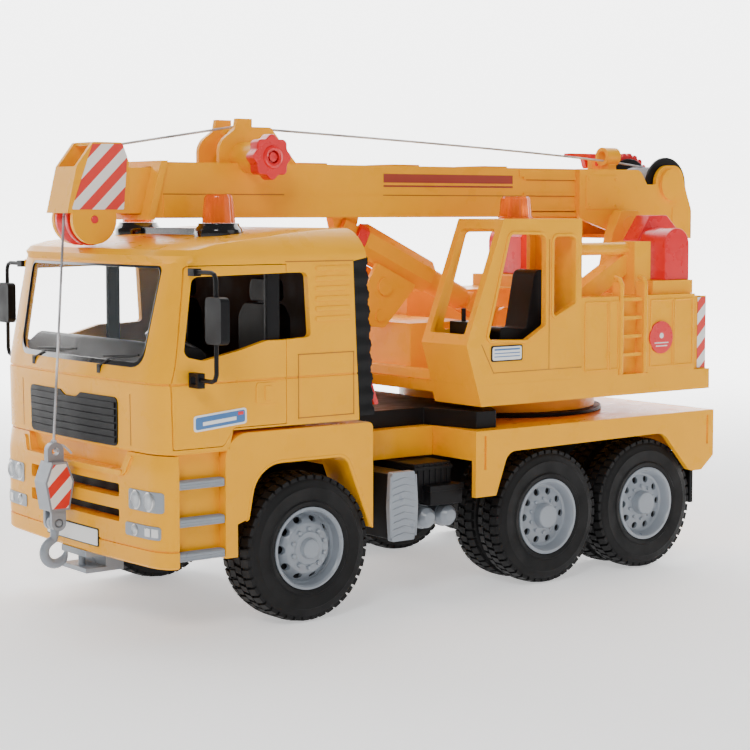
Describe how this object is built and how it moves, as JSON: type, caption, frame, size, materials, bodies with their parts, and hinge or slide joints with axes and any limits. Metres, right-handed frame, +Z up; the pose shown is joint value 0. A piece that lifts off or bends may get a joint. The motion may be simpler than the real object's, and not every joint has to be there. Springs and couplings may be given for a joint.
{
  "type": "toy crane truck",
  "caption": "Yellow toy crane truck with a slewing, luffing and telescoping boom, opening cab doors, folding mirrors, a winch rope and a hook block.",
  "frame": {"origin": "on the ground, under the middle of the outer box of the whole toy", "axes": "X runs along the toy with the truck cab and the hook at -X and the winch at +X; Y runs across it, with the crane operator's cab at -Y; Z is up"},
  "size_m": [0.4456, 0.23, 0.254],
  "materials": {
    "yellow_plastic": "glossy warm yellow-orange moulded plastic",
    "red_plastic": "glossy red moulded plastic",
    "black_plastic": "satin black moulded plastic",
    "silver_plastic": "satin silver-grey moulded plastic",
    "tyre_rubber": "soft black tyre",
    "steel": "plain steel axle",
    "clear_plastic": "clear plastic windscreen",
    "amber_plastic": "see-through amber plastic lens",
    "grey_cord": "twisted grey cord"
  },
  "bodies": {
    "truck": {"chassis_frame": "black_plastic", "frame_cover": "yellow_plastic", "rear_body": "yellow_plastic", "slew_ring": "black_plastic", "side_boxes": "black_plastic", "side_tanks": "silver_plastic", "mud_flaps": "black_plastic", "tow_coupling": "silver_plastic", "cab_shell": "yellow_plastic", "windshield": "clear_plastic", "front_bumper": "yellow_plastic", "headlights": "silver_plastic", "step_treads": "silver_plastic", "grille": "black_plastic", "front_fenders": "yellow_plastic", "cab_interior": "black_plastic", "air_intake": "black_plastic", "beacon_bases": "black_plastic", "beacon_lenses": "amber_plastic", "cab_lever": "red_plastic"},
    "front_wheels": {"front_axle": "steel", "front_rims": "silver_plastic", "front_tyres": "tyre_rubber"},
    "middle_wheels": {"middle_axle": "steel", "middle_rims": "silver_plastic", "middle_tyres": "tyre_rubber"},
    "rear_wheels": {"rear_axle": "steel", "rear_rims": "silver_plastic", "rear_tyres": "tyre_rubber"},
    "left_door": {"door_left": "yellow_plastic"},
    "right_door": {"door_right": "yellow_plastic"},
    "left_mirror": {"mirror_left": "black_plastic"},
    "right_mirror": {"mirror_right": "black_plastic"},
    "superstructure": {"crane_deck": "yellow_plastic", "crane_cab": "yellow_plastic", "crane_seat": "black_plastic", "crane_beacon": "amber_plastic", "engine_housing": "yellow_plastic", "right_housing": "yellow_plastic", "boom_towers": "yellow_plastic", "pivot_covers": "red_plastic"},
    "boom": {"boom_shell": "yellow_plastic", "winch_housing": "yellow_plastic", "knob_bracket": "yellow_plastic", "rope_rear": "grey_cord"},
    "inner_boom": {"boom_inner": "yellow_plastic", "boom_head": "yellow_plastic", "rope_front": "grey_cord"},
    "knob": {"extension_knob": "red_plastic"},
    "pulley": {"head_pulley": "red_plastic"},
    "fall": {"rope_fall": "grey_cord"},
    "block": {"hook_block": "silver_plastic"},
    "load_hook": {"hook": "silver_plastic"},
    "winch": {"winch_spool": "black_plastic", "ratchet_wheel": "red_plastic"},
    "pawl": {"winch_pawl": "red_plastic"},
    "barrel": {"cylinder_barrel": "yellow_plastic", "cylinder_cap": "red_plastic"},
    "tube": {"cylinder_tube": "yellow_plastic"},
    "rod": {"cylinder_rod": "yellow_plastic"}
  },
  "joints": [
    {"name": "front_axle_spin", "type": "hinge", "parent": "truck", "child": "front_wheels", "pos_m": [-0.11683, 0, 0.0375], "axis": [0, 1, 0], "continuous": true},
    {"name": "middle_axle_spin", "type": "hinge", "parent": "truck", "child": "middle_wheels", "pos_m": [0.04447, 0, 0.0375], "axis": [0, 1, 0], "continuous": true},
    {"name": "rear_axle_spin", "type": "hinge", "parent": "truck", "child": "rear_wheels", "pos_m": [0.12087, 0, 0.0375], "axis": [0, 1, 0], "continuous": true},
    {"name": "left_door_swing", "type": "hinge", "parent": "truck", "child": "left_door", "pos_m": [-0.19603, -0.084, 0.136], "axis": [0, 0, -1], "range_deg": [0, 60]},
    {"name": "right_door_swing", "type": "hinge", "parent": "truck", "child": "right_door", "pos_m": [-0.19603, 0.084, 0.136], "axis": [0, 0, 1], "range_deg": [0, 60]},
    {"name": "left_mirror_fold", "type": "hinge", "parent": "left_door", "child": "left_mirror", "pos_m": [-0.18633, -0.087, 0.151], "axis": [0, 0, 1], "range_deg": [0, 70]},
    {"name": "right_mirror_fold", "type": "hinge", "parent": "right_door", "child": "right_mirror", "pos_m": [-0.18633, 0.087, 0.151], "axis": [0, 0, -1], "range_deg": [0, 70]},
    {"name": "slew", "type": "hinge", "parent": "truck", "child": "superstructure", "pos_m": [0.07917, 0, 0.095], "axis": [0, 0, 1], "continuous": true},
    {"name": "boom_luff", "type": "hinge", "parent": "superstructure", "child": "boom", "pos_m": [0.15617, 0, 0.197], "axis": [0, 1, 0], "range_deg": [0, 45]},
    {"name": "boom_extend", "type": "slide", "parent": "boom", "child": "inner_boom", "axis": [-1, 0, 0], "range_m": [0, 0.11], "deforming": ["rope_front"]},
    {"name": "knob_spin", "type": "hinge", "parent": "boom", "child": "knob", "pos_m": [-0.10783, 0, 0.2333], "axis": [0, 1, 0], "continuous": true},
    {"name": "winch_spin", "type": "hinge", "parent": "boom", "child": "winch", "pos_m": [0.20237, 0, 0.2216], "axis": [0, 1, 0], "continuous": true},
    {"name": "pawl_lift", "type": "hinge", "parent": "boom", "child": "pawl", "pos_m": [0.16917, 0.016, 0.2348], "axis": [0, -1, 0], "range_deg": [0, 18]},
    {"name": "pulley_spin", "type": "hinge", "parent": "inner_boom", "child": "pulley", "pos_m": [-0.19633, 0, 0.2014], "axis": [0, 1, 0], "continuous": true},
    {"name": "fall_swing", "type": "hinge", "parent": "inner_boom", "child": "fall", "pos_m": [-0.19633, 0, 0.2014], "axis": [0, 1, 0], "range_deg": [-28, 1]},
    {"name": "hook_hoist", "type": "slide", "parent": "fall", "child": "block", "axis": [0, 0, 1], "range_m": [0, 0.08], "deforming": ["rope_fall"]},
    {"name": "hook_swing", "type": "hinge", "parent": "block", "child": "load_hook", "pos_m": [-0.21483, 0, 0.0495], "axis": [0, 1, 0], "range_deg": [-5, 25]},
    {"name": "barrel_swing", "type": "hinge", "parent": "boom", "child": "barrel", "pos_m": [-0.03483, 0, 0.195], "axis": [0, 1, 0], "range_deg": [-1, 4]},
    {"name": "tube_slide", "type": "slide", "parent": "barrel", "child": "tube", "axis": [0.9037, 0, -0.4281], "range_m": [0, 0.0368]},
    {"name": "rod_slide", "type": "slide", "parent": "tube", "child": "rod", "axis": [0.9037, 0, -0.4281], "range_m": [0, 0.0368]}
  ],
  "couplings": [
    {"joint": "knob_spin", "follows": "boom_extend", "rad_per_m": 192.31},
    {"joint": "winch_spin", "follows": "hook_hoist", "rad_per_m": 94.34},
    {"joint": "pulley_spin", "follows": "hook_hoist", "rad_per_m": 90.09},
    {"joint": "fall_swing", "follows": "boom_luff", "ratio": -0.6},
    {"joint": "barrel_swing", "follows": "boom_luff", "ratio": 0.04983},
    {"joint": "tube_slide", "follows": "boom_luff", "m_per_rad": 0.046223},
    {"joint": "rod_slide", "follows": "boom_luff", "m_per_rad": 0.046223}
  ]
}
